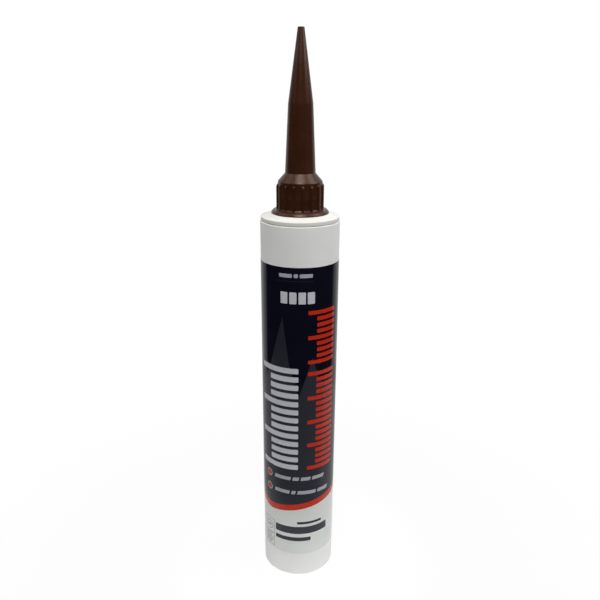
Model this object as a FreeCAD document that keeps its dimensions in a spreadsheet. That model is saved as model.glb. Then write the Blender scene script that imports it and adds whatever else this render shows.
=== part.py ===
import FreeCAD, Part
import os
import Sketcher

# A full caulk tube that stands on its open rear rim, nozzle up.
# Millimetres. The origin is the centre of the rear rim, +Z runs to the nozzle
# tip and -Y is the front of the label.

doc = FreeCAD.newDocument("caulk_tube")
sheet = doc.addObject("Spreadsheet::Sheet", "sizes")

SIZES = [
    # Barrel wall and rear mouth
    ("barrel_outer_radius", 25.0),
    ("barrel_wall", 1.6),
    ("barrel_height", 254.9),
    ("rear_mouth_widening", 0.3),
    ("rear_mouth_depth", 10.0),
    ("rear_mouth_taper", 2.0),
    ("barrel_edge_round", 0.5),
    # Head disc, whose land is a little wider than the nozzle's flange
    ("head_groove_depth", 0.75),
    ("head_groove_height", 0.4),
    ("head_disc_inset", 0.4),
    ("head_disc_height", 2.7),
    ("head_edge_width", 0.45),
    ("head_land_margin", 0.25),
    ("head_land_rise", 1.8),
    ("head_rim_thickness", 1.8),
    ("head_land_thickness", 2.0),
    ("head_recess_margin", 1.4),
    # Neck, closed at its tip by a moulded seal
    ("neck_radius", 7.35),
    ("neck_wall", 1.65),
    ("neck_height", 19.4),
    ("neck_seal_thickness", 0.9),
    ("neck_tip_bevel", 0.7),
    # Nozzle flange and collar
    ("flange_reach", 4.2),
    ("flange_thickness", 2.2),
    ("flange_round", 0.8),
    ("collar_radius", 13.85),
    ("collar_wall", 1.55),
    ("collar_height", 19.3),
    ("shoulder_rise", 5.0),
    ("shoulder_wall", 1.9),
    ("shoulder_round", 1.6),
    ("shoulder_foot_round", 0.5),
    # Sleeve inside the collar, with room for the thread on the neck
    ("sleeve_room", 0.65),
    ("sleeve_wall", 1.6),
    ("sleeve_end_gap", 1.0),
    ("sleeve_head_room", 2.6),
    # Nozzle cones and the channel inside them
    ("cone_foot_radius", 9.38),
    ("cone_foot_wall", 1.78),
    ("cone_break_radius", 7.5),
    ("cone_break_wall", 1.5),
    ("lower_cone_rise", 39.7),
    ("upper_cone_rise", 41.2),
    ("nozzle_tip_radius", 1.95),
    ("nozzle_tip_wall", 1.05),
    ("nozzle_tip_round", 0.35),
    # Grip ribs on the collar
    ("rib_count", 16),
    ("rib_depth", 0.98),
    ("rib_root_width", 1.6),
    ("rib_crest_width", 0.9),
    ("rib_drop", 1.5),
    ("rib_bevel_height", 2.1),
    ("rib_turn", 7.0),
    # Piston
    ("piston_set_back", 13.0),
    ("piston_height", 20.0),
    ("piston_clearance", 0.05),
    ("piston_lip_reach", 0.65),
    ("piston_lip_height", 1.4),
    ("piston_lip_flare", 1.0),
    ("piston_wall", 1.5),
    ("piston_crown_thickness", 1.8),
    ("piston_crown_bevel", 0.6),
    # Caulk between piston and head
    ("caulk_clearance", 0.05),
    # Label film, wrapped once round with a lap at the back
    ("label_glue", 0.06),
    ("label_thickness", 0.1),
    ("label_bottom", 18.4),
    ("label_height", 211.9),
    ("label_lap_angle", 14.0),
]

row = 0
for alias, value in SIZES:
    row = row + 1
    sheet.set("A%d" % row, alias.replace("_", " "))
    sheet.set("B%d" % row, str(value))
    sheet.setAlias("B%d" % row, alias)
doc.recompute()


def size(formula):
    """The present value of a formula of the named sizes."""
    return float(sheet.evalExpression(formula))


def new_body(label):
    """An empty body for one physical piece."""
    body = doc.addObject("PartDesign::Body", label)
    body.Label = label
    return body


def origin_part(body, role):
    """The body's own plane or axis with this role."""
    return [part for part in body.Origin.OriginFeatures if part.Role == role][0]


def hold(sketch, kind, corner, formula):
    """Hold one coordinate of an outline's corner at a formula, or on the axis."""
    if formula == "0":
        axis = {"DistanceX": -2, "DistanceY": -1}[kind]
        sketch.addConstraint(Sketcher.Constraint("PointOnObject", corner, 1, axis))
        return
    place = Sketcher.Constraint(kind, -1, 1, corner, 1, size(formula))
    index = sketch.addConstraint(place)
    sketch.setExpression("Constraints[%d]" % index, formula)


def outline(body, name, plane, corners):
    """A closed outline through corners given as pairs of formulas."""
    sketch = body.newObject("Sketcher::SketchObject", name)
    sketch.AttachmentSupport = (origin_part(body, plane), "")
    sketch.MapMode = "FlatFace"
    points = [FreeCAD.Vector(size(across), size(up), 0) for across, up in corners]
    count = len(points)
    for index in range(count):
        side = Part.LineSegment(points[index], points[(index + 1) % count])
        sketch.addGeometry(side, False)
    for index in range(count):
        joint = Sketcher.Constraint("Coincident", index, 2, (index + 1) % count, 1)
        sketch.addConstraint(joint)
    for index, (across, up) in enumerate(corners):
        hold(sketch, "DistanceX", index, across)
        hold(sketch, "DistanceY", index, up)
    return sketch


def turned(body, name, corners, kind="PartDesign::Revolution"):
    """Turn an outline of radius and height pairs about the Z axis."""
    sketch = outline(body, name + "_outline", "XZ_Plane", corners)
    feature = body.newObject(kind, name)
    feature.Profile = sketch
    feature.ReferenceAxis = (sketch, ["V_Axis"])
    feature.Angle = 360
    doc.recompute()
    return feature


def ring_edges(feature, rings):
    """Names of the circular edges at pairs of radius and height formulas."""
    wanted = [(size(radius), size(height)) for radius, height in rings]
    names = []
    for index, edge in enumerate(feature.Shape.Edges):
        if not isinstance(edge.Curve, Part.Circle):
            continue
        for radius, height in wanted:
            same_radius = abs(edge.Curve.Radius - radius) < 0.001
            if same_radius and abs(edge.Curve.Center.z - height) < 0.001:
                names.append("Edge%d" % (index + 1))
    return names


def rounded(body, name, feature, rings, radius):
    """Round the circular edges at these radius and height formulas."""
    fillet = body.newObject("PartDesign::Fillet", name)
    fillet.Base = (feature, ring_edges(feature, rings))
    fillet.setExpression("Radius", radius)
    doc.recompute()
    return fillet


# Radii that several pieces share, and heights from the rear rim
bore_radius = "(sizes.barrel_outer_radius - sizes.barrel_wall)"
flange_radius = "(sizes.collar_radius + sizes.flange_reach)"
head_top = "sizes.barrel_height + sizes.head_disc_height"
head_floor = head_top + " - sizes.head_rim_thickness"
land_top = head_top + " + sizes.head_land_rise"

# Barrel: tube, stepped head and closed neck in one moulding
mouth_radius = bore_radius + " + sizes.rear_mouth_widening"
groove_radius = "sizes.barrel_outer_radius - sizes.head_groove_depth"
groove_top = "sizes.barrel_height + sizes.head_groove_height"
disc_radius = "sizes.barrel_outer_radius - sizes.head_disc_inset"
land_radius = flange_radius + " + sizes.head_land_margin"
recess_radius = land_radius + " - sizes.head_recess_margin"
recess_top = land_top + " - sizes.head_land_thickness"
neck_bore_radius = "sizes.neck_radius - sizes.neck_wall"
neck_top = land_top + " + sizes.neck_height"
seal_floor = neck_top + " - sizes.neck_seal_thickness"

barrel = new_body("cartridge_barrel")
barrel_form = turned(barrel, "barrel_form", [
    (mouth_radius, "0"),
    ("sizes.barrel_outer_radius", "0"),
    ("sizes.barrel_outer_radius", "sizes.barrel_height"),
    (groove_radius, "sizes.barrel_height"),
    (groove_radius, groove_top),
    (disc_radius, groove_top),
    (disc_radius, head_top),
    (disc_radius + " - sizes.head_edge_width", head_top),
    (land_radius, land_top),
    ("sizes.neck_radius", land_top),
    ("sizes.neck_radius", neck_top + " - sizes.neck_tip_bevel"),
    ("sizes.neck_radius - sizes.neck_tip_bevel", neck_top),
    ("0", neck_top),
    ("0", seal_floor),
    (neck_bore_radius, seal_floor),
    (neck_bore_radius, recess_top),
    (recess_radius, recess_top),
    (recess_radius, head_floor),
    (bore_radius, head_floor),
    (bore_radius, "sizes.rear_mouth_depth + sizes.rear_mouth_taper"),
    (mouth_radius, "sizes.rear_mouth_depth"),
])
barrel_edges = [
    ("sizes.barrel_outer_radius", "0"),
    ("sizes.barrel_outer_radius", "sizes.barrel_height"),
]
rounded(barrel, "barrel_rounds", barrel_form, barrel_edges, "sizes.barrel_edge_round")

# Nozzle: flange, ribbed collar, inner sleeve and two cones in one moulding.
# Its heights are counted from the flange's underside.
shoulder_top = "(sizes.collar_height + sizes.shoulder_rise)"
cone_break = shoulder_top + " + sizes.lower_cone_rise"
nozzle_top = cone_break + " + sizes.upper_cone_rise"
collar_bore = "(sizes.collar_radius - sizes.collar_wall)"
sleeve_bore = "(sizes.neck_radius + sizes.sleeve_room)"
sleeve_radius = "(" + sleeve_bore + " + sizes.sleeve_wall)"
sleeve_top = "sizes.neck_height + sizes.sleeve_head_room"


def under_shoulder(radius):
    """Height of the cavity's slanted top, one wall under the shoulder."""
    outward = "(%s - sizes.cone_foot_radius)" % radius
    run = "(sizes.collar_radius - sizes.cone_foot_radius)"
    drop = "sizes.shoulder_rise * %s / %s" % (outward, run)
    return "%s - sizes.shoulder_wall - %s" % (shoulder_top, drop)


nozzle = new_body("nozzle")
nozzle_form = turned(nozzle, "nozzle_form", [
    (collar_bore, "0"),
    (flange_radius, "0"),
    (flange_radius, "sizes.flange_thickness"),
    ("sizes.collar_radius", "sizes.flange_thickness"),
    ("sizes.collar_radius", "sizes.collar_height"),
    ("sizes.cone_foot_radius", shoulder_top),
    ("sizes.cone_break_radius", cone_break),
    ("sizes.nozzle_tip_radius", nozzle_top),
    ("sizes.nozzle_tip_radius - sizes.nozzle_tip_wall", nozzle_top),
    ("sizes.cone_break_radius - sizes.cone_break_wall", cone_break),
    ("sizes.cone_foot_radius - sizes.cone_foot_wall", sleeve_top),
    (sleeve_bore, sleeve_top),
    (sleeve_bore, "sizes.sleeve_end_gap"),
    (sleeve_radius, "sizes.sleeve_end_gap"),
    (sleeve_radius, under_shoulder(sleeve_radius)),
    (collar_bore, under_shoulder(collar_bore)),
])
flange_edges = [(flange_radius, "0"), (flange_radius, "sizes.flange_thickness")]
shoulder_edge = [("sizes.collar_radius", "sizes.collar_height")]
shoulder_foot = [("sizes.cone_foot_radius", shoulder_top)]
tip_edge = [("sizes.nozzle_tip_radius", nozzle_top)]
rounds = rounded(nozzle, "flange_rounds", nozzle_form, flange_edges, "sizes.flange_round")
rounds = rounded(nozzle, "shoulder_round", rounds, shoulder_edge, "sizes.shoulder_round")
rounds = rounded(nozzle, "foot_round", rounds, shoulder_foot, "sizes.shoulder_foot_round")
rounded(nozzle, "tip_round", rounds, tip_edge, "sizes.nozzle_tip_round")

# One grip rib at the front of the collar, rooted in its wall, then all of them
rib_root = "-(sizes.collar_radius - sizes.collar_wall / 2)"
rib_crest = "-(sizes.collar_radius + sizes.rib_depth)"
rib_outline = outline(nozzle, "rib_outline", "XY_Plane", [
    ("-sizes.rib_root_width / 2", rib_root),
    ("sizes.rib_root_width / 2", rib_root),
    ("sizes.rib_root_width / 2", "-sizes.collar_radius"),
    ("sizes.rib_crest_width / 2", rib_crest),
    ("-sizes.rib_crest_width / 2", rib_crest),
    ("-sizes.rib_root_width / 2", "-sizes.collar_radius"),
])
rib_top = "sizes.collar_height - sizes.rib_drop"
rib_outline.setExpression("AttachmentOffset.Base.z", "sizes.flange_thickness / 2")
rib = nozzle.newObject("PartDesign::Pad", "rib")
rib.Profile = rib_outline
rib.setExpression("Length", rib_top + " - sizes.flange_thickness / 2")
doc.recompute()
ribs = nozzle.newObject("PartDesign::PolarPattern", "ribs")
ribs.Originals = [rib]
ribs.Axis = (origin_part(nozzle, "Z_Axis"), [""])
ribs.Angle = 360
ribs.setExpression("Occurrences", "sizes.rib_count")
nozzle.Tip = ribs
doc.recompute()

# The cut that slants the top end of every rib back to the collar
beyond_ribs = "sizes.collar_radius + 2 * sizes.rib_depth"
turned(nozzle, "rib_bevel", [
    ("sizes.collar_radius", rib_top),
    (beyond_ribs, rib_top),
    (beyond_ribs, rib_top + " - 2 * sizes.rib_bevel_height"),
], "PartDesign::Groove")
nozzle.setExpression("Placement.Base.z", land_top)
nozzle.setExpression("Placement.Rotation.Angle", "sizes.rib_turn")

# Piston: a cup with two sealing lips, open to the rear
lip_radius = bore_radius + " - sizes.piston_clearance"
body_radius = lip_radius + " - sizes.piston_lip_reach"
cup_radius = body_radius + " - sizes.piston_wall"
cup_floor = "sizes.piston_height - sizes.piston_crown_thickness"
rear_lip_top = "sizes.piston_lip_height + sizes.piston_lip_flare"
front_lip_top = "sizes.piston_height - sizes.piston_crown_bevel"
front_lip_foot = front_lip_top + " - sizes.piston_lip_height"

piston = new_body("piston")
turned(piston, "piston_form", [
    (cup_radius, "0"),
    (lip_radius, "0"),
    (lip_radius, "sizes.piston_lip_height"),
    (body_radius, rear_lip_top),
    (body_radius, front_lip_foot + " - sizes.piston_lip_flare"),
    (lip_radius, front_lip_foot),
    (lip_radius, front_lip_top),
    (lip_radius + " - sizes.piston_crown_bevel", "sizes.piston_height"),
    ("0", "sizes.piston_height"),
    ("0", cup_floor),
    (cup_radius, cup_floor),
])
piston.setExpression("Placement.Base.z", "sizes.piston_set_back")

# Caulk: fills the barrel from the piston's crown to the underside of the head
caulk_radius = bore_radius + " - sizes.caulk_clearance"
caulk_foot = "sizes.piston_set_back + sizes.piston_height"
caulk_length = head_floor + " - sizes.piston_set_back - sizes.piston_height"

caulk = new_body("caulk_fill")
turned(caulk, "caulk_form", [
    ("0", "0"),
    (caulk_radius, "0"),
    (caulk_radius, caulk_length),
    ("0", caulk_length),
])
caulk.setExpression("Placement.Base.z", caulk_foot)

# Label film: one turn round the barrel, and a lap of a second layer at the back
film_inner = "sizes.barrel_outer_radius + sizes.label_glue"
film_outer = film_inner + " + sizes.label_thickness"
lap_inner = film_inner + " + sizes.label_thickness / 2"
lap_outer = film_outer + " + sizes.label_thickness"

label = new_body("label_film")
turned(label, "film_form", [
    (film_inner, "0"),
    (film_outer, "0"),
    (film_outer, "sizes.label_height"),
    (film_inner, "sizes.label_height"),
])
lap = turned(label, "lap_form", [
    (lap_inner, "0"),
    (lap_outer, "0"),
    (lap_outer, "sizes.label_height"),
    (lap_inner, "sizes.label_height"),
])
lap.Midplane = True
lap.setExpression("Angle", "sizes.label_lap_angle")
label.setExpression("Placement.Base.z", "sizes.label_bottom")
label.Placement.Rotation = FreeCAD.Rotation(FreeCAD.Vector(0, 0, 1), 90)

doc.recompute()

# Nothing is written unless every feature is sound and every piece is one solid
for item in doc.Objects:
    faults = [state for state in item.State if state in ("Invalid", "Error")]
    if faults:
        raise RuntimeError("%s is not sound: %s" % (item.Name, faults))

os.makedirs("parts", exist_ok=True)
for body in (barrel, nozzle, piston, caulk, label):
    shape = body.Shape
    if shape.isNull() or not shape.isValid():
        raise RuntimeError("%s has no valid shape" % body.Label)
    if len(shape.Solids) != 1:
        raise RuntimeError("%s is not one solid" % body.Label)
    box = shape.BoundBox
    print("%s %.1f mm3, z %.2f to %.2f" % (body.Label, shape.Volume, box.ZMin, box.ZMax))
    shape.exportStep("parts/%s.step" % body.Label)
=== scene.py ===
import math

import bpy
from mathutils import Matrix, Vector


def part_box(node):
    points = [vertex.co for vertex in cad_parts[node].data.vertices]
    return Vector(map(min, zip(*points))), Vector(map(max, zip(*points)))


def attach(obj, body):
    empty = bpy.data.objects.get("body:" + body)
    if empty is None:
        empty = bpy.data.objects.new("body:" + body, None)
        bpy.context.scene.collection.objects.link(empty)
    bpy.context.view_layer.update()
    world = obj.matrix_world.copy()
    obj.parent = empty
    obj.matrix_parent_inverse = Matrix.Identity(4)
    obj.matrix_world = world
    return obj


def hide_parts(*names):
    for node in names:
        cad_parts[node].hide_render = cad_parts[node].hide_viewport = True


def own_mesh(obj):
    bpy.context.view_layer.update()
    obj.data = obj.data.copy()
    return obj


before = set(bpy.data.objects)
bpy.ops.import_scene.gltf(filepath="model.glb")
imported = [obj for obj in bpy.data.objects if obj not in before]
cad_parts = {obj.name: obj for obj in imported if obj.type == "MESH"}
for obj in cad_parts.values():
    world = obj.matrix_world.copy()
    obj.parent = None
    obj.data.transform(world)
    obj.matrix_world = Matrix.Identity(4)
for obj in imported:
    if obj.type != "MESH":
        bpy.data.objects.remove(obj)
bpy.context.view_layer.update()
MM = 0.001


def extent(node):
    """A CAD node's foot and top, in millimetres."""
    low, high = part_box(node)
    return low.z / MM, high.z / MM


# Places that the frame gives
NOZZLE_FOOT, NOZZLE_TOP = extent("nozzle")
NECK_TOP = extent("cartridge_barrel")[1]
PISTON_FOOT, PISTON_TOP = extent("piston")
CAULK_FOOT, CAULK_TOP = extent("caulk_fill")
LABEL_FOOT, LABEL_TOP = extent("label_film")

# Barrel and head
BARREL_RADIUS = 25.0
BORE_RADIUS = 23.4
MOUTH_RADIUS = 23.7
MOUTH_DEPTH = 10.0
MOUTH_TAPER = 2.0
HEAD_FOOT = NOZZLE_FOOT - 4.5
HEAD_EDGE = NOZZLE_FOOT - 1.8
DISC_RADIUS = 24.6
DISC_BEVEL = 0.45
GROOVE_DEPTH = 0.35
GROOVE_HEIGHT = 0.4
HEAD_RING_RADIUS = 20.7
LAND_RADIUS = 18.3
RECESS_RADIUS = 16.9
RECESS_TOP = NOZZLE_FOOT - 2.0
NECK_RADIUS = 7.35
NECK_BORE = 5.7
NECK_SEAL = 0.9
NECK_CHAMFER = 0.7
SEAL_DISH_RADIUS = 3.2
SEAL_DISH_DEPTH = 0.25

# Thread on the neck and in the nozzle's sleeve
THREAD_PITCH = 3.0
THREAD_DEPTH = 0.48
THREAD_STEP = 0.3
THREAD_FADE = 1.5
NECK_THREAD_FOOT = NOZZLE_FOOT + 2.4
NECK_THREAD_TOP = NECK_TOP - 1.6

# Nozzle, with heights from its underside
FLANGE_RADIUS = 18.05
FLANGE_THICKNESS = 2.2
FLANGE_EDGE = 0.4
FLANGE_BEVEL = 1.4
COLLAR_RADIUS = 13.85
COLLAR_BORE = 12.3
COLLAR_TOP = 19.3
CONE_FOOT = 24.3
CONE_FOOT_RADIUS = 9.38
CONE_BREAK = 64.0
CONE_BREAK_RADIUS = 7.5
TIP_RADIUS = 1.95
OUTLET_RADIUS = 0.9
CONE_FOOT_WALL = 1.78
CONE_BREAK_WALL = 1.5
COLLAR_ROOF = 1.9
SLEEVE_BORE = 8.0
SLEEVE_RADIUS = 9.6
SLEEVE_FOOT = 1.0
SLEEVE_TOP = 22.0
RIB_COUNT = 16
RIB_DEPTH = 0.98
RIB_TURN = 7.0
RIB_CREST_HALF_ANGLE = 1.7
RIB_ROOT_HALF_ANGLE = 3.4
RIB_TOP = 17.8
RIB_DOME = 2.1
PARTING_HEIGHT = 9.7
PARTING_RISE = 0.07
PARTING_REACH = 0.25
TIP_RING_HEIGHT = 93.1

# Piston
PISTON_RADIUS = 23.35
PISTON_WAIST = 22.7
PISTON_CUP = 21.2
PISTON_CROWN = 1.8
PISTON_LIP = 1.4
PISTON_LIP_SLOPE = 1.0
PISTON_CHAMFER = 0.6
GATE_RADIUS = 1.6
GATE_DEPTH = 0.5

# Label film and the print on it
FILM_INNER = 25.02
FILM_OUTER = 25.12
FIELD_BASE = 25.128
MARK_BASE = 25.143
INK_THICKNESS = 0.008
LAP_HALF_ANGLE = 7.0
LAP_RISE = 0.1
LAP_RAMP = 3.0
FILM_END_GAP = 0.05
PRINT_MARGIN = 0.1
PRINT_GAP = 0.02
PANEL_INSET = 0.05
INK_STEP = 1.0

BARREL_SEGMENTS = 192
CAULK_SEGMENTS = 96
FILM_SEGMENTS = 240
SHARP_EDGE = math.radians(38)


def blend_step(value, low, high):
    """0 below low, 1 above high and smooth between."""
    share = min(1.0, max(0.0, (value - low) / (high - low)))
    return share * share * (3 - 2 * share)


# Materials

HEAD_CREAM = (0.975, 0.965, 0.925)
FILM_IOR = 1.38
BROWN_SPECULAR = 0.46
BROWN_GLOSS = (1.0, 0.80, 0.66)


class Shader:
    """A node material with one Principled shader and the object's own coordinates."""

    def __init__(self, name):
        self.material = bpy.data.materials.new(name)
        self.material.use_nodes = True
        self.tree = self.material.node_tree
        self.principled = self.tree.nodes["Principled BSDF"]
        self.place = self.node("ShaderNodeTexCoord").outputs["Object"]

    def node(self, kind):
        return self.tree.nodes.new(kind)

    def link(self, output, socket):
        self.tree.links.new(output, socket)

    def noise(self, scale, detail=3.0, stretch=(1, 1, 1)):
        """Noise with scale in features per metre, stretched along the axes."""
        mapping = self.node("ShaderNodeMapping")
        mapping.inputs["Scale"].default_value = stretch
        self.link(self.place, mapping.inputs["Vector"])
        noise = self.node("ShaderNodeTexNoise")
        noise.inputs["Scale"].default_value = scale
        noise.inputs["Detail"].default_value = detail
        self.link(mapping.outputs["Vector"], noise.inputs["Vector"])
        return noise.outputs["Fac"]

    def spread(self, output, low, high):
        """Noise taken from about its own range to low and high."""
        spread = self.node("ShaderNodeMapRange")
        spread.inputs["From Min"].default_value = 0.3
        spread.inputs["From Max"].default_value = 0.7
        spread.inputs["To Min"].default_value = low
        spread.inputs["To Max"].default_value = high
        self.link(output, spread.inputs["Value"])
        return spread.outputs["Result"]

    def colour(self, output, first, second):
        mix = self.node("ShaderNodeMix")
        mix.data_type = "RGBA"
        mix.inputs["A"].default_value = (*first, 1)
        mix.inputs["B"].default_value = (*second, 1)
        self.link(self.spread(output, 0, 1), mix.inputs["Factor"])
        self.link(mix.outputs["Result"], self.principled.inputs["Base Color"])

    def multiply_colour(self, output):
        """Multiply the base colour by another one."""
        colour = self.principled.inputs["Base Color"]
        mix = self.node("ShaderNodeMix")
        mix.data_type = "RGBA"
        mix.blend_type = "MULTIPLY"
        mix.inputs["Factor"].default_value = 1.0
        self.link(colour.links[0].from_socket, mix.inputs["A"])
        self.link(output, mix.inputs["B"])
        self.link(mix.outputs["Result"], colour)

    def along(self, axis, low, high):
        """The object's own place on an axis, taken from low and high to 0 and 1."""
        split = self.node("ShaderNodeSeparateXYZ")
        self.link(self.place, split.inputs["Vector"])
        scale = self.node("ShaderNodeMapRange")
        scale.inputs["From Min"].default_value = low
        scale.inputs["From Max"].default_value = high
        self.link(split.outputs[axis], scale.inputs["Value"])
        return scale.outputs["Result"]

    def roughness(self, output, low, high):
        self.link(self.spread(output, low, high), self.principled.inputs["Roughness"])

    def bump(self, *layers):
        """Bumps from pairs of noise and height in metres, one on the other."""
        normal = None
        for output, height in layers:
            bump = self.node("ShaderNodeBump")
            bump.inputs["Strength"].default_value = 1.0
            bump.inputs["Distance"].default_value = height
            self.link(output, bump.inputs["Height"])
            if normal:
                self.link(normal, bump.inputs["Normal"])
            normal = bump.outputs["Normal"]
        self.link(normal, self.principled.inputs["Normal"])


def white_plastic():
    """Satin white polyethylene with faint drawn lines, a little creamier at the head."""
    shader = Shader("white_plastic")
    shader.colour(shader.noise(35), (0.79, 0.79, 0.775), (0.83, 0.83, 0.815))
    head = shader.node("ShaderNodeMix")
    head.data_type = "RGBA"
    shader.link(shader.along("Z", (HEAD_FOOT - 0.3) * MM, HEAD_FOOT * MM), head.inputs["Factor"])
    head.inputs["A"].default_value = (1, 1, 1, 1)
    head.inputs["B"].default_value = (*HEAD_CREAM, 1)
    shader.multiply_colour(head.outputs["Result"])
    shader.roughness(shader.noise(160), 0.36, 0.46)
    drawn = shader.noise(500, stretch=(1, 1, 0.03))
    shader.bump((drawn, 0.00001), (shader.noise(2600, 2), 0.000006))
    return shader.material


def brown_plastic():
    """Dark brown moulded polyethylene with a fine satin grain."""
    shader = Shader("brown_plastic")
    shader.colour(shader.noise(90), (0.034, 0.0096, 0.0034), (0.045, 0.0134, 0.0052))
    shader.roughness(shader.noise(420), 0.28, 0.34)
    shader.bump((shader.noise(320), 0.000008), (shader.noise(3200, 2), 0.000001))
    shader.principled.inputs["Specular IOR Level"].default_value = BROWN_SPECULAR
    shader.principled.inputs["Specular Tint"].default_value = (*BROWN_GLOSS, 1)
    return shader.material


def natural_plastic():
    """Milky undyed polyethylene."""
    shader = Shader("natural_plastic")
    shader.colour(shader.noise(70), (0.72, 0.72, 0.69), (0.78, 0.78, 0.75))
    shader.roughness(shader.noise(260), 0.40, 0.52)
    shader.bump((shader.noise(300), 0.00002), (shader.noise(2400, 2), 0.000008))
    shader.principled.inputs["Subsurface Weight"].default_value = 0.15
    shader.principled.inputs["Subsurface Scale"].default_value = 0.002
    return shader.material


def caulk_paste():
    """Thick brown paste with soft waves and a fine filler grain."""
    shader = Shader("caulk_paste")
    shader.colour(shader.noise(60), (0.085, 0.044, 0.027), (0.115, 0.060, 0.037))
    shader.roughness(shader.noise(300), 0.55, 0.75)
    shader.bump((shader.noise(90), 0.0003), (shader.noise(1800, 2), 0.00004))
    return shader.material


def film_finish(name, first, second):
    """Glossy printed film: the ink varies a little, the film ripples a little."""
    shader = Shader(name)
    shader.colour(shader.noise(45), first, second)
    shader.roughness(shader.noise(120), 0.10, 0.16)
    shader.bump((shader.noise(38, 2), 0.00003), (shader.noise(1500, 2), 0.0000012))
    shader.principled.inputs["IOR"].default_value = FILM_IOR
    return shader.material


def ink(name, colour):
    """A printed colour under the film's gloss."""
    paler = [min(1.0, 1.06 * value + 0.001) for value in colour]
    return film_finish(name, colour, paler)


WHITE = white_plastic()
BROWN = brown_plastic()
NATURAL = natural_plastic()
CAULK = caulk_paste()
NAVY = film_finish("navy_film", (0.0034, 0.0036, 0.0095), (0.0046, 0.0048, 0.0120))
SLATE_INK = ink("slate_ink", (0.0210, 0.0215, 0.0310))
SILVER_INK = ink("silver_ink", (0.58, 0.60, 0.65))
RED_INK = ink("red_ink", (0.56, 0.026, 0.008))
PANEL_INK = ink("panel_ink", (0.68, 0.70, 0.675))
DARK_INK = ink("dark_ink", (0.020, 0.022, 0.034))
GREY_INK = ink("grey_ink", (0.24, 0.25, 0.27))
PALE_INK = ink("pale_ink", (0.40, 0.41, 0.46))


# Meshes


def mesh_piece(name, points, faces, material, body):
    """A smooth-shaded mesh from points in millimetres, riding on a body."""
    mesh = bpy.data.meshes.new(name)
    mesh.from_pydata([Vector(point) * MM for point in points], [], faces)
    mesh.shade_smooth()
    mesh.set_sharp_from_angle(angle=SHARP_EDGE)
    mesh.materials.append(material)
    piece = bpy.data.objects.new(name, mesh)
    bpy.context.scene.collection.objects.link(piece)
    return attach(piece, body)


def without_repeats(corners):
    """A face's corners with neighbours that are the same point left out."""
    return [c for k, c in enumerate(corners) if c != corners[k - 1]]


def rounded(corners, steps=5):
    """A closed line through corners of radius and height, each with its rounding."""
    line = []
    for index, (radius, height, rounding) in enumerate(corners):
        here = Vector((radius, height))
        if rounding == 0:
            line.append(here)
            continue
        before = (Vector(corners[index - 1][:2]) - here).normalized()
        after = (Vector(corners[(index + 1) % len(corners)][:2]) - here).normalized()
        half = before.angle(after) / 2
        centre = here + (before + after).normalized() * rounding / math.sin(half)
        start = (here + before * rounding / math.tan(half) - centre).normalized()
        end = (here + after * rounding / math.tan(half) - centre).normalized()
        arc = [start.slerp(end, k / steps) for k in range(steps + 1)]
        line += [centre + direction * rounding for direction in arc]
    return line


def heights(low, high, step):
    """Evenly spaced heights from low to high, both left out."""
    count = max(1, round((high - low) / step))
    return [low + (high - low) * k / count for k in range(1, count)]


def turned(name, line, angles, material, body, swell=None):
    """Turn a closed line of radius and height about Z. Swell adds to the radius."""
    points, faces, rings = [], [], []
    for radius, height in line:
        if radius < 1e-6:
            rings.append([len(points)] * len(angles))
            points.append((0, 0, height))
            continue
        rings.append(range(len(points), len(points) + len(angles)))
        for angle in angles:
            reach = radius + (swell(radius, height, angle) if swell else 0)
            points.append((reach * math.sin(angle), -reach * math.cos(angle), height))
    for ring, after in zip(rings, rings[1:] + rings[:1]):
        for k in range(len(angles)):
            beside = (k + 1) % len(angles)
            face = without_repeats([ring[k], ring[beside], after[beside], after[k]])
            if len(face) > 2:
                faces.append(face)
    return mesh_piece(name, points, faces, material, body)


def even_angles(count):
    return [2 * math.pi * k / count for k in range(count)]


def thread(height, angle, foot, top, phase):
    """Share of the thread's depth at a place on its wall."""
    turn = (height - NOZZLE_FOOT) / THREAD_PITCH - angle / (2 * math.pi) + phase
    ridge = blend_step(math.cos(2 * math.pi * turn), -0.45, 0.75)
    fade = blend_step(height, foot, foot + THREAD_FADE)
    return ridge * fade * (1 - blend_step(height, top - THREAD_FADE, top))


# Barrel: tube, stepped head and threaded neck in one moulding


def neck_swell(radius, height, angle):
    if abs(radius - NECK_RADIUS) > 1e-6:
        return 0
    return THREAD_DEPTH * thread(height, angle, NECK_THREAD_FOOT, NECK_THREAD_TOP, 0)


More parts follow.
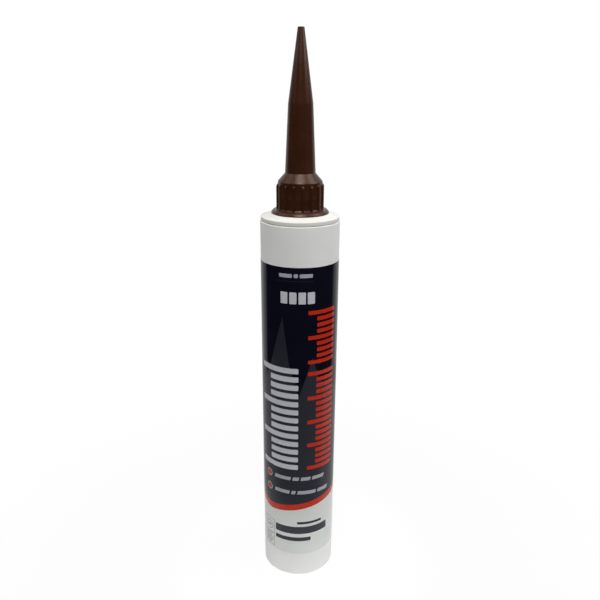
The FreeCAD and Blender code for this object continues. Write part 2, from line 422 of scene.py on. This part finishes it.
def barrel_line():
    """The barrel's section, with a fine turned ring on the slope of the head."""
    slope_edge = DISC_RADIUS - DISC_BEVEL
    slope = (NOZZLE_FOOT - HEAD_EDGE) / (slope_edge - LAND_RADIUS)
    ring_height = NOZZLE_FOOT - slope * (HEAD_RING_RADIUS - LAND_RADIUS)
    groove_radius = DISC_RADIUS - GROOVE_DEPTH
    groove_top = HEAD_FOOT + GROOVE_HEIGHT
    outline = rounded([
        (MOUTH_RADIUS, 0, 0.2),
        (BARREL_RADIUS, 0, 0.5),
        (BARREL_RADIUS, HEAD_FOOT, 0.5),
        (groove_radius, HEAD_FOOT, 0.1),
        (groove_radius, groove_top, 0.1),
        (DISC_RADIUS, groove_top, 0.12),
        (DISC_RADIUS, HEAD_EDGE, 0.2),
        (slope_edge, HEAD_EDGE, 0.15),
        (HEAD_RING_RADIUS + 0.5, ring_height - 0.15, 0.1),
        (HEAD_RING_RADIUS + 0.25, ring_height - 0.22, 0.08),
        (HEAD_RING_RADIUS, ring_height, 0.1),
        (LAND_RADIUS, NOZZLE_FOOT, 0.3),
        (NECK_RADIUS, NOZZLE_FOOT, 0.4),
        (NECK_RADIUS, NECK_TOP - NECK_CHAMFER, 0),
        (NECK_RADIUS - NECK_CHAMFER, NECK_TOP, 0.3),
        (SEAL_DISH_RADIUS, NECK_TOP, 0.1),
        (SEAL_DISH_RADIUS - 0.3, NECK_TOP - SEAL_DISH_DEPTH, 0.1),
        (0, NECK_TOP - SEAL_DISH_DEPTH, 0),
        (0, NECK_TOP - NECK_SEAL, 0),
        (NECK_BORE, NECK_TOP - NECK_SEAL, 0.3),
        (NECK_BORE, RECESS_TOP, 0.3),
        (RECESS_RADIUS, RECESS_TOP, 0.3),
        (RECESS_RADIUS, CAULK_TOP, 0.2),
        (BORE_RADIUS, CAULK_TOP, 0.4),
        (BORE_RADIUS, MOUTH_DEPTH + MOUTH_TAPER, 0),
        (MOUTH_RADIUS, MOUTH_DEPTH, 0),
    ])
    line = []
    for point, after in zip(outline, outline[1:] + outline[:1]):
        line.append(point)
        if abs(point.x - NECK_RADIUS) < 1e-6 and abs(after.x - NECK_RADIUS) < 1e-6:
            rows = heights(point.y, after.y, THREAD_STEP)
            line += [Vector((NECK_RADIUS, height)) for height in rows]
    return line


barrel = turned("barrel_moulding", barrel_line(), even_angles(BARREL_SEGMENTS), WHITE,
                "cartridge", neck_swell)
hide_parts("cartridge_barrel")


# Nozzle: flange, ribbed collar, inner sleeve and two cones in one moulding


def rib_angles():
    """Columns round the nozzle, closer together across each rib."""
    pitch = 360 / RIB_COUNT
    flank = [0.6, 1.2, 1.7, 2.1, 2.5, 2.9, 3.4, 4.0, 6.0, 8.6]
    offsets = sorted([-step for step in flank] + [0] + flank) + [pitch / 2]
    return [math.radians(RIB_TURN + pitch * rib + offset)
            for rib in range(RIB_COUNT) for offset in offsets]


def nozzle_swell(radius, height, angle):
    """Ribs down to the flange and a faint parting line outside, the thread inside."""
    level = height - NOZZLE_FOOT
    over = radius - COLLAR_RADIUS
    if -1e-6 < over < RIB_DEPTH and FLANGE_THICKNESS < level < RIB_TOP:
        pitch = 360 / RIB_COUNT
        offset = (math.degrees(angle) - RIB_TURN + pitch / 2) % pitch - pitch / 2
        across = 1 - blend_step(abs(offset), RIB_CREST_HALF_ANGLE, RIB_ROOT_HALF_ANGLE)
        climb = max(0, (level - RIB_TOP + RIB_DOME) / RIB_DOME)
        rib = RIB_DEPTH * across * math.sqrt(max(0, 1 - climb ** 2))
        seam = 1 - blend_step(abs(level - PARTING_HEIGHT), 0, PARTING_REACH)
        return max(0, rib - over) + PARTING_RISE * seam * (1 - across)
    if abs(radius - SLEEVE_BORE) < 1e-6:
        foot, top = NOZZLE_FOOT + SLEEVE_FOOT, NOZZLE_FOOT + SLEEVE_TOP
        return -THREAD_DEPTH * thread(height, angle, foot, top, 0.5)
    return 0


def nozzle_line():
    """The nozzle's section, with rows where the ribs and the thread change."""
    cavity_top = CONE_FOOT - COLLAR_ROOF
    slope = (CONE_FOOT - COLLAR_TOP) / (COLLAR_RADIUS - CONE_FOOT_RADIUS)
    ring_share = (TIP_RING_HEIGHT - CONE_BREAK) / (NOZZLE_TOP - NOZZLE_FOOT - CONE_BREAK)
    ring = CONE_BREAK_RADIUS + (TIP_RADIUS - CONE_BREAK_RADIUS) * ring_share
    outline = rounded([
        (COLLAR_BORE, 0, 0.3),
        (FLANGE_RADIUS, 0, 0.2),
        (FLANGE_RADIUS, FLANGE_EDGE, 0.3),
        (FLANGE_RADIUS - 0.45, FLANGE_EDGE + 0.9, 2.0),
        (FLANGE_RADIUS - FLANGE_BEVEL, FLANGE_THICKNESS, 0.7),
        (COLLAR_RADIUS, FLANGE_THICKNESS, 1.5),
        (COLLAR_RADIUS, COLLAR_TOP, 1.5),
        (CONE_FOOT_RADIUS, CONE_FOOT, 0.5),
        (CONE_BREAK_RADIUS, CONE_BREAK, 6.0),
        (ring + 0.02, TIP_RING_HEIGHT - 0.1, 0),
        (ring - 0.04, TIP_RING_HEIGHT + 0.1, 0),
        (TIP_RADIUS, NOZZLE_TOP - NOZZLE_FOOT, 0.3),
        (OUTLET_RADIUS, NOZZLE_TOP - NOZZLE_FOOT, 0.2),
        (CONE_BREAK_RADIUS - CONE_BREAK_WALL, CONE_BREAK, 0),
        (CONE_FOOT_RADIUS - CONE_FOOT_WALL, SLEEVE_TOP, 0.1),
        (SLEEVE_BORE, SLEEVE_TOP, 0.1),
        (SLEEVE_BORE, SLEEVE_FOOT, 0.2),
        (SLEEVE_RADIUS, SLEEVE_FOOT, 0.2),
        (SLEEVE_RADIUS, cavity_top - slope * (SLEEVE_RADIUS - CONE_FOOT_RADIUS), 0.3),
        (COLLAR_BORE, cavity_top - slope * (COLLAR_BORE - CONE_FOOT_RADIUS), 0.3),
    ])
    dome = [RIB_TOP - RIB_DOME + RIB_DOME * math.sin(k * math.pi / 18) for k in range(10)]
    seam = [PARTING_HEIGHT + PARTING_REACH * k / 2 for k in range(-2, 3)]
    line = []
    for point, after in zip(outline, outline[1:] + outline[:1]):
        line.append(point)
        if abs(point.x - after.x) > 1e-6:
            continue
        rows = []
        if abs(point.x - COLLAR_RADIUS) < 1e-6:
            rows = seam + dome
        if abs(point.x - SLEEVE_BORE) < 1e-6:
            rows = heights(point.y, after.y, THREAD_STEP)
        line += [Vector((point.x, row)) for row in rows]
    return [point + Vector((0, NOZZLE_FOOT)) for point in line]


nozzle = turned("nozzle_moulding", nozzle_line(), rib_angles(), BROWN, "nozzle",
                nozzle_swell)
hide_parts("nozzle")


# Piston and caulk


def piston_line():
    """The piston's section: a cup with a lip at each end and a gate mark in its crown."""
    lip_top = PISTON_FOOT + PISTON_LIP
    upper_lip = PISTON_TOP - PISTON_CHAMFER - PISTON_LIP
    crown_foot = PISTON_TOP - PISTON_CROWN
    return rounded([
        (PISTON_CUP, PISTON_FOOT, 0.2),
        (PISTON_RADIUS, PISTON_FOOT, 0.25),
        (PISTON_RADIUS, lip_top, 0.2),
        (PISTON_WAIST, lip_top + PISTON_LIP_SLOPE, 0.3),
        (PISTON_WAIST, upper_lip - PISTON_LIP_SLOPE, 0.3),
        (PISTON_RADIUS, upper_lip, 0.2),
        (PISTON_RADIUS, PISTON_TOP - PISTON_CHAMFER, 0.2),
        (PISTON_RADIUS - PISTON_CHAMFER, PISTON_TOP, 0.2),
        (0, PISTON_TOP, 0),
        (0, crown_foot - GATE_DEPTH, 0),
        (GATE_RADIUS, crown_foot - GATE_DEPTH, 0.2),
        (GATE_RADIUS + 0.3, crown_foot, 0.1),
        (PISTON_CUP, crown_foot, 0.8),
    ])


piston = turned("piston_moulding", piston_line(), even_angles(BARREL_SEGMENTS), NATURAL,
                "piston")
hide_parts("piston")

caulk_line = rounded([
    (0, CAULK_FOOT, 0),
    (PISTON_RADIUS, CAULK_FOOT, 0.3),
    (PISTON_RADIUS, CAULK_TOP, 0.3),
    (0, CAULK_TOP, 0),
])
caulk = turned("caulk_filling", caulk_line, even_angles(CAULK_SEGMENTS), CAULK, "cartridge")
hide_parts("caulk_fill")
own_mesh(caulk)


# Label film, wrapped once round with a lap at the back


def lap(angle):
    """How far the film's second layer lifts it, at an angle from the front."""
    degrees = math.degrees(angle)
    start = 180 - LAP_HALF_ANGLE
    return LAP_RISE * blend_step(degrees, start, start + LAP_RAMP)


FILM_START = math.radians(-180 + LAP_HALF_ANGLE)
FILM_END = math.radians(180 + LAP_HALF_ANGLE)


def film_swell(radius, height, angle):
    return lap(angle) if radius > FILM_INNER + 0.01 else 0


film_line = rounded([
    (FILM_INNER, LABEL_FOOT, 0),
    (FILM_OUTER, LABEL_FOOT, 0.03),
    (FILM_OUTER, LABEL_TOP, 0.03),
    (FILM_INNER, LABEL_TOP, 0),
], steps=3)
film_angles = [FILM_START + (FILM_END - FILM_START) * k / FILM_SEGMENTS
               for k in range(FILM_SEGMENTS)]
film_angles.append(FILM_END - math.radians(FILM_END_GAP))
film = turned("label_wrap", film_line, film_angles, NAVY, "cartridge", film_swell)
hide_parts("label_film")

# The print is laid out flat: u runs round the film from the front, to the right,
# and z is the height, both in millimetres.
PRINT_START = FILM_OUTER * FILM_START + PRINT_MARGIN
PRINT_END = FILM_OUTER * FILM_END - PRINT_MARGIN


def columns(start, end, extra=()):
    """Places along u from start to end at the ink's step, with some of its own."""
    count = max(1, math.ceil((end - start) / INK_STEP))
    places = [start + (end - start) * k / count for k in range(count + 1)]
    return sorted(set(places + [u for u in extra if start < u < end]))


def band(start, end, lower, upper, extra=()):
    """Flat faces of a field between two edges, given as heights along u."""
    places = columns(start, end, extra)
    return [[(a, lower(a)), (b, lower(b)), (b, upper(b)), (a, upper(a))]
            for a, b in zip(places, places[1:])]


def bar(start, end, foot, top, corner=0.5, lean=0.0):
    """Flat faces of a bar with rounded corners. Lean shifts its top along u."""
    corner = min(corner, (end - start) / 2.01, (top - foot) / 2.01)

    def inset(u):
        reach = max(0, start + corner - u, u - end + corner)
        return corner - math.sqrt(max(0, corner ** 2 - reach ** 2))

    ends = [corner * (1 - math.cos(k * math.pi / 8)) for k in range(1, 5)]
    extra = [start + reach for reach in ends] + [end - reach for reach in ends]
    faces = band(start, end, lambda u: foot + inset(u), lambda u: top - inset(u), extra)
    return [[(u + lean * (z - foot), z) for u, z in face] for face in faces]


def disc(centre_u, centre_z, outer, inner=0.0, count=24):
    """Flat faces of a disc, or of a ring if it has an inner radius."""
    turns = [(math.cos(a), math.sin(a)) for a in even_angles(count)]
    faces = []
    for (c, s), (c2, s2) in zip(turns, turns[1:] + turns[:1]):
        edge = [(centre_u + outer * c, centre_z + outer * s),
                (centre_u + outer * c2, centre_z + outer * s2)]
        if inner:
            edge += [(centre_u + inner * c2, centre_z + inner * s2),
                     (centre_u + inner * c, centre_z + inner * s)]
        else:
            edge.append((centre_u, centre_z))
        faces.append(edge)
    return faces


def printed(name, flat_faces, base, material):
    """Lay flat faces of ink round the film as one thin closed layer."""
    points, faces, known, sides = [], [], {}, {}

    def corner(u, z):
        key = (round(u, 4), round(z, 4))
        if key not in known:
            angle = u / FILM_OUTER
            known[key] = len(points)
            for radius in (base, base + INK_THICKNESS):
                reach = radius + lap(angle)
                points.append((reach * math.sin(angle), -reach * math.cos(angle), z))
        return known[key]

    for flat in flat_faces:
        inner = without_repeats([corner(u, z) for u, z in flat])
        if len(inner) < 3:
            continue
        faces.append([index + 1 for index in inner])
        faces.append(inner[::-1])
        for a, b in zip(inner, inner[1:] + inner[:1]):
            if (b, a) in sides:
                del sides[(b, a)]
            else:
                sides[(a, b)] = [a, b, b + 1, a + 1]
    return mesh_piece(name, points, faces + list(sides.values()), material, "cartridge")


# Fields: a slate field with long facets, a curved stripe and a pale panel


def swoosh(valley):
    """Heights along u of a curve that climbs from its valley and meets itself at the lap."""
    def height(u):
        turn = (u - VALLEY_PLACE) / FILM_OUTER
        climb = math.hypot(math.sin(turn / 2), VALLEY_ROUNDNESS) - VALLEY_ROUNDNESS
        return valley + VALLEY_CLIMB * climb - VALLEY_LEAN * math.sin(turn)

    return height


def zigzag(corners):
    """Heights along u from straight runs between corners."""
    def height(u):
        for (a, low), (b, high) in zip(corners, corners[1:]):
            if u <= b:
                return low + (high - low) * (u - a) / (b - a)
        return corners[-1][1]

    return height


VALLEY_PLACE = -22.5
VALLEY_ROUNDNESS = 0.06
VALLEY_CLIMB = 14.0
VALLEY_LEAN = 2.5
STRIPE_VALLEY = 52.6
STRIPE_WIDTH = 4.7
STRIPE_TOP = swoosh(STRIPE_VALLEY + STRIPE_WIDTH)
STRIPE_FOOT = swoosh(STRIPE_VALLEY)
FACETS = [
    (PRINT_START, 148), (-66, 144), (-57, 182), (-50, 150), (-30, 146), (-21, 163),
    (-11.2, 198), (-6.7, 166), (-0.5, 142), (3, 153), (8.8, 171), (14, 154), (34, 143),
    (44, 186), (52, 150), (66, 146), (PRINT_END, 148),
]
printed("print_slate_field",
        band(PRINT_START, PRINT_END, lambda u: STRIPE_TOP(u) + PRINT_GAP, zigzag(FACETS),
             [u for u, z in FACETS]),
        FIELD_BASE, SLATE_INK)
printed("print_stripe", band(PRINT_START, PRINT_END, STRIPE_FOOT, STRIPE_TOP),
        FIELD_BASE, RED_INK)
printed("print_panel",
        band(PRINT_START, PRINT_END, lambda u: LABEL_FOOT + PANEL_INSET,
             lambda u: STRIPE_FOOT(u) - PRINT_GAP),
        FIELD_BASE, PANEL_INK)


# Marks on the front: plain bars, dots and rings


def ladder(left, long_left, right, foot, top, count, thickness):
    """Even bars one above the other, with every fourth one longer."""
    pitch = (top - foot - thickness) / (count - 1)
    faces = []
    for index in range(count):
        level = foot + pitch * index
        start = left if index % 4 else long_left
        faces += bar(start, right, level, level + thickness, corner=0.6)
    return faces


def row_of_bars(left, foot, top, widths, gap, corner=0.5, lean=0.0):
    """Bars side by side, of the same height."""
    faces = []
    for width in widths:
        faces += bar(left, left + width, foot, top, corner, lean)
        left += width + gap
    return faces


silver = ladder(left=-21.0, long_left=-30.0, right=-0.5, foot=88.4, top=163.6,
                count=13, thickness=3.7)
silver += row_of_bars(left=-12.3, foot=207.2, top=214.8, widths=[4.6] * 4, gap=1.2)
printed("print_silver_bars", silver, MARK_BASE, SILVER_INK)

RED_COLUMN = {"left": 11.6, "long_left": 5.6, "right": 27.0}
red = ladder(**RED_COLUMN, foot=88.2, top=161.0, count=17, thickness=2.7)
red += ladder(**RED_COLUMN, foot=166.5, top=202.6, count=9, thickness=2.6)
printed("print_red_bars", red, MARK_BASE, RED_INK)

DOT_PLACE = -23.3
DOT_RADIUS = 2.0
DOT_RING = (2.9, 2.25)
DOT_BAR_HALF_HEIGHT = 1.35
small = row_of_bars(left=-13.4, foot=224.0, top=226.4, widths=[8.6, 2.6, 8.2], gap=1.1,
                    corner=0.6)
for dot_height, widths in ((81, [12.2, 4.4, 6.6, 9.4]), (70, [11.4, 2.8, 13.2, 9.0])):
    small += row_of_bars(left=-18.1, foot=dot_height - DOT_BAR_HALF_HEIGHT,
                         top=dot_height + DOT_BAR_HALF_HEIGHT, widths=widths, gap=1.4,
                         corner=0.4, lean=0.25)
    small += disc(DOT_PLACE, dot_height, *DOT_RING)
    printed("print_dot_%d" % dot_height, disc(DOT_PLACE, dot_height, DOT_RADIUS),
            MARK_BASE, RED_INK)
printed("print_small_bars", small, MARK_BASE, PALE_INK)
printed("print_hairline", bar(start=-15.6, end=8.6, foot=221.6, top=221.85, corner=0.1),
        MARK_BASE, SLATE_INK)

dark = bar(start=-17.5, end=22.5, foot=35.4, top=41.4, corner=0.7)
dark += bar(start=-17.5, end=9.0, foot=29.2, top=32.4, corner=0.6)
dark += bar(start=-1.0, end=17.4, foot=43.6, top=45.6, corner=0.5)
printed("print_dark_bars", dark, MARK_BASE, DARK_INK)


def frame_of_lines(left, right, foot, top, line):
    """Four thin bars round a box, a hair apart at its corners."""
    low, high = foot + line + PRINT_GAP, top - line - PRINT_GAP
    sides = [(left, right, foot, foot + line), (left, right, top - line, top),
             (left, left + line, low, high), (right - line, right, low, high)]
    return [face for side in sides for face in bar(*side, corner=0.01)]


SHORTEST_BAR = 2.2
BAR_STEP = 1.9
BAR_GAP = 0.7
ROW_END_GAP = 1.0


def text_block(left, foot, top, widths, thickness, pitch, seed=0):
    """Rows of short bars, of four lengths in turn, that stand for small print."""
    faces = []
    level = top - thickness
    index = seed
    while level > foot:
        end = left + widths[index % len(widths)]
        start = left
        step = 0
        while start < end - ROW_END_GAP:
            length = SHORTEST_BAR + BAR_STEP * ((index * 5 + step * 3) % 4)
            length = min(length, end - start)
            faces += bar(start, start + length, level, level + thickness, corner=0.15)
            start += length + BAR_GAP
            step += 1
        level -= pitch
        index += 1
    return faces


# The back and sides: boxes of small print in rows of short bars

notes = frame_of_lines(left=-29.2, right=-18.8, foot=20.3, top=42.8, line=0.4)
notes += text_block(left=-28.2, foot=22.0, top=31.0, widths=[8.2, 6.4, 8.2],
                    thickness=0.9, pitch=2.0)
notes += disc(centre_u=-23.9, centre_z=36.9, outer=3.6, inner=3.1)
notes += bar(start=-25.6, end=-22.2, foot=36.2, top=37.6, corner=0.5)
for left, seed in ((34, 1), (-62, 2)):
    notes += text_block(left, foot=24.0, top=47.0, widths=[24, 22, 24.5, 17],
                        thickness=0.9, pitch=2.4, seed=seed)
printed("print_notes", notes, MARK_BASE, GREY_INK)

COLUMN_FOOT = 74
COLUMN_TOP = 216
COLUMN_SPLIT = COLUMN_TOP - 48
HEADING_HEIGHT = 2.6
SMALL_PRINT = {"thickness": 1.0, "pitch": 2.6}
back = []
for left, seed in ((38, 0), (-72, 3)):
    back += bar(left, left + 15, COLUMN_TOP, COLUMN_TOP + HEADING_HEIGHT, corner=0.5)
    back += text_block(left, COLUMN_SPLIT + 8, COLUMN_TOP - 3, widths=[26, 23, 26.5, 18],
                       **SMALL_PRINT, seed=seed)
    back += bar(left, left + 11, COLUMN_SPLIT, COLUMN_SPLIT + HEADING_HEIGHT, corner=0.5)
    back += text_block(left, COLUMN_FOOT, COLUMN_SPLIT - 3, widths=[26.5, 25, 22, 26, 15],
                       **SMALL_PRINT, seed=seed + 1)
printed("print_back_text", back, MARK_BASE, SILVER_INK)


# Studio: a floor and surroundings that are white to the camera, and four soft lamps


def graded(tree, value, stops):
    """A strength that follows a value from 0 to 1 through stops of place and strength."""
    ramp = tree.nodes.new("ShaderNodeValToRGB")
    elements = ramp.color_ramp.elements
    while len(elements) < len(stops):
        elements.new(0.5)
    for element, (place, strength) in zip(elements, stops):
        element.position = place
        element.color = (strength, strength, strength, 1)
    tree.links.new(value, ramp.inputs["Fac"])
    return ramp.outputs["Color"]


def floor_material():
    """A grey sheet with painted shade in front and painted light behind, a paler disc under the
    object as a painted pool of light, and nearly white to the camera.
    """
    shader = Shader("studio_floor")
    tree = shader.tree
    shader.colour(shader.noise(6), (0.90, 0.90, 0.90), (0.92, 0.92, 0.92))
    shader.roughness(shader.noise(40), 0.6, 0.7)
    # The sheet's tone runs from dark in front to pale behind: painted shade and light that the
    # glossy label reflects.
    depth = shader.along("Y", -SHEET_REACH, SHEET_REACH)
    reach = shader.node("ShaderNodeVectorMath")
    reach.operation = "LENGTH"
    shader.link(shader.place, reach.inputs[0])
    # A paler disc under the object is a painted pool of light round its base.
    painted_floor_light = shader.node("ShaderNodeMix")
    painted_floor_light.data_type = "RGBA"
    shader.link(graded(tree, reach.outputs["Value"], LIGHT_POOL_STOPS), painted_floor_light.inputs["Factor"])
    shader.link(graded(tree, depth, SHADED_SHEET_STOPS), painted_floor_light.inputs["A"])
    painted_floor_light.inputs["B"].default_value = (LIGHT_POOL_TONE, LIGHT_POOL_TONE, LIGHT_POOL_TONE, 1)
    shader.multiply_colour(painted_floor_light.outputs["Result"])
    share = shader.node("ShaderNodeMath")
    share.operation = "MULTIPLY"
    shader.link(graded(tree, reach.outputs["Value"], WHITE_STOPS), share.inputs[0])
    shader.link(shader.node("ShaderNodeLightPath").outputs["Is Camera Ray"], share.inputs[1])
    mix = shader.node("ShaderNodeMixShader")
    shader.link(share.outputs[0], mix.inputs["Fac"])
    shader.link(shader.principled.outputs["BSDF"], mix.inputs[1])
    shader.link(shader.node("ShaderNodeEmission").outputs["Emission"], mix.inputs[2])
    shader.link(mix.outputs["Shader"], tree.nodes["Material Output"].inputs["Surface"])
    return shader.material


def studio_floor(drop=0.00005):
    """A round floor, a hair under the rim that stands on it."""
    mesh = bpy.data.meshes.new("studio_floor")
    rim = [(SHEET_REACH * math.cos(a), SHEET_REACH * math.sin(a), -drop)
           for a in even_angles(96)]
    mesh.from_pydata(rim, [], [range(len(rim))])
    mesh.materials.append(floor_material())
    floor = bpy.data.objects.new("studio_floor", mesh)
    bpy.context.scene.collection.objects.link(floor)


def studio_world():
    """White to the camera. It lights the object from behind, and less in front."""
    world = bpy.data.worlds.new("studio_world")
    bpy.context.scene.world = world
    world.use_nodes = True
    tree = world.node_tree
    background = tree.nodes["Background"]
    coordinates = tree.nodes.new("ShaderNodeTexCoord")
    split = tree.nodes.new("ShaderNodeSeparateXYZ")
    tree.links.new(coordinates.outputs["Generated"], split.inputs["Vector"])
    seen = tree.nodes.new("ShaderNodeLightPath")
    strength = tree.nodes.new("ShaderNodeMix")
    strength.data_type = "RGBA"
    tree.links.new(seen.outputs["Is Camera Ray"], strength.inputs["Factor"])
    tree.links.new(graded(tree, split.outputs["Y"], BACKDROP_STOPS), strength.inputs["A"])
    strength.inputs["B"].default_value = (1, 1, 1, 1)
    tree.links.new(strength.outputs["Result"], background.inputs["Color"])
    background.inputs["Strength"].default_value = 1.0


def softbox(name, place, target, width, height, power):
    """An area lamp at a place in metres, turned to its target."""
    lamp = bpy.data.lights.new(name, "AREA")
    lamp.shape = "RECTANGLE"
    lamp.size, lamp.size_y = width, height
    lamp.energy = power
    box = bpy.data.objects.new(name, lamp)
    box.location = place
    aim = Vector(target) - Vector(place)
    box.rotation_euler = aim.to_track_quat("-Z", "Y").to_euler()
    bpy.context.scene.collection.objects.link(box)


SHEET_REACH = 0.40
# Painted shade on the floor in front of the object, painted light behind it.
SHADED_SHEET_STOPS = [(0.0, 0.11), (0.25, 0.20), (0.40, 0.30), (0.46, 0.62)]
# A paler disc under the object: a painted pool of light.
LIGHT_POOL_TONE = 0.97
LIGHT_POOL_STOPS = [(0.085, 1.0), (0.115, 0.0)]
WHITE_STOPS = [(0.03, 0.92), (0.30, 1.0)]
BACKDROP_STOPS = [(0.37, 0.02), (0.40, 0.41), (0.72, 0.74)]
studio_floor()
studio_world()
MIDDLE = (0, 0, 0.15)
softbox("key_box", (0.0, -0.92, 1.45), MIDDLE, 0.60, 0.60, 15.2)
softbox("top_box", (0.02, -0.33, 1.50), MIDDLE, 0.80, 0.30, 3.4)
softbox("right_box", (1.12, -0.15, 1.22), MIDDLE, 1.10, 1.10, 11.6)
softbox("left_box", (-1.12, -0.15, 1.22), MIDDLE, 1.10, 1.10, 4.9)


# Camera, solved from the outline, rims and label edges in the photograph

IMAGE_WIDTH = 600
FOCAL_PIXELS = 663.8
CENTRE_DROP_PIXELS = 40
CAMERA_PLACE = (0.00002, -0.4152, 0.33565)
CAMERA_PITCH = math.radians(21.289)
CAMERA_YAW = math.radians(0.053)
CAMERA_ROLL = math.radians(0.336)


def photo_camera():
    """The camera that the photograph was taken with."""
    data = bpy.data.cameras.new("photo_camera")
    data.sensor_width = 36
    data.lens = data.sensor_width * FOCAL_PIXELS / IMAGE_WIDTH
    data.shift_y = CENTRE_DROP_PIXELS / IMAGE_WIDTH
    data.clip_start = 0.01
    camera = bpy.data.objects.new("photo_camera", data)
    upright = Matrix.Rotation(math.pi / 2 - CAMERA_PITCH, 4, "X")
    turn = Matrix.Rotation(-CAMERA_YAW, 4, "Z")
    roll = Matrix.Rotation(CAMERA_ROLL, 4, "Z")
    camera.matrix_world = Matrix.Translation(CAMERA_PLACE) @ turn @ upright @ roll
    bpy.context.scene.collection.objects.link(camera)
    bpy.context.scene.camera = camera


photo_camera()
bpy.context.scene.view_settings.view_transform = "Standard"
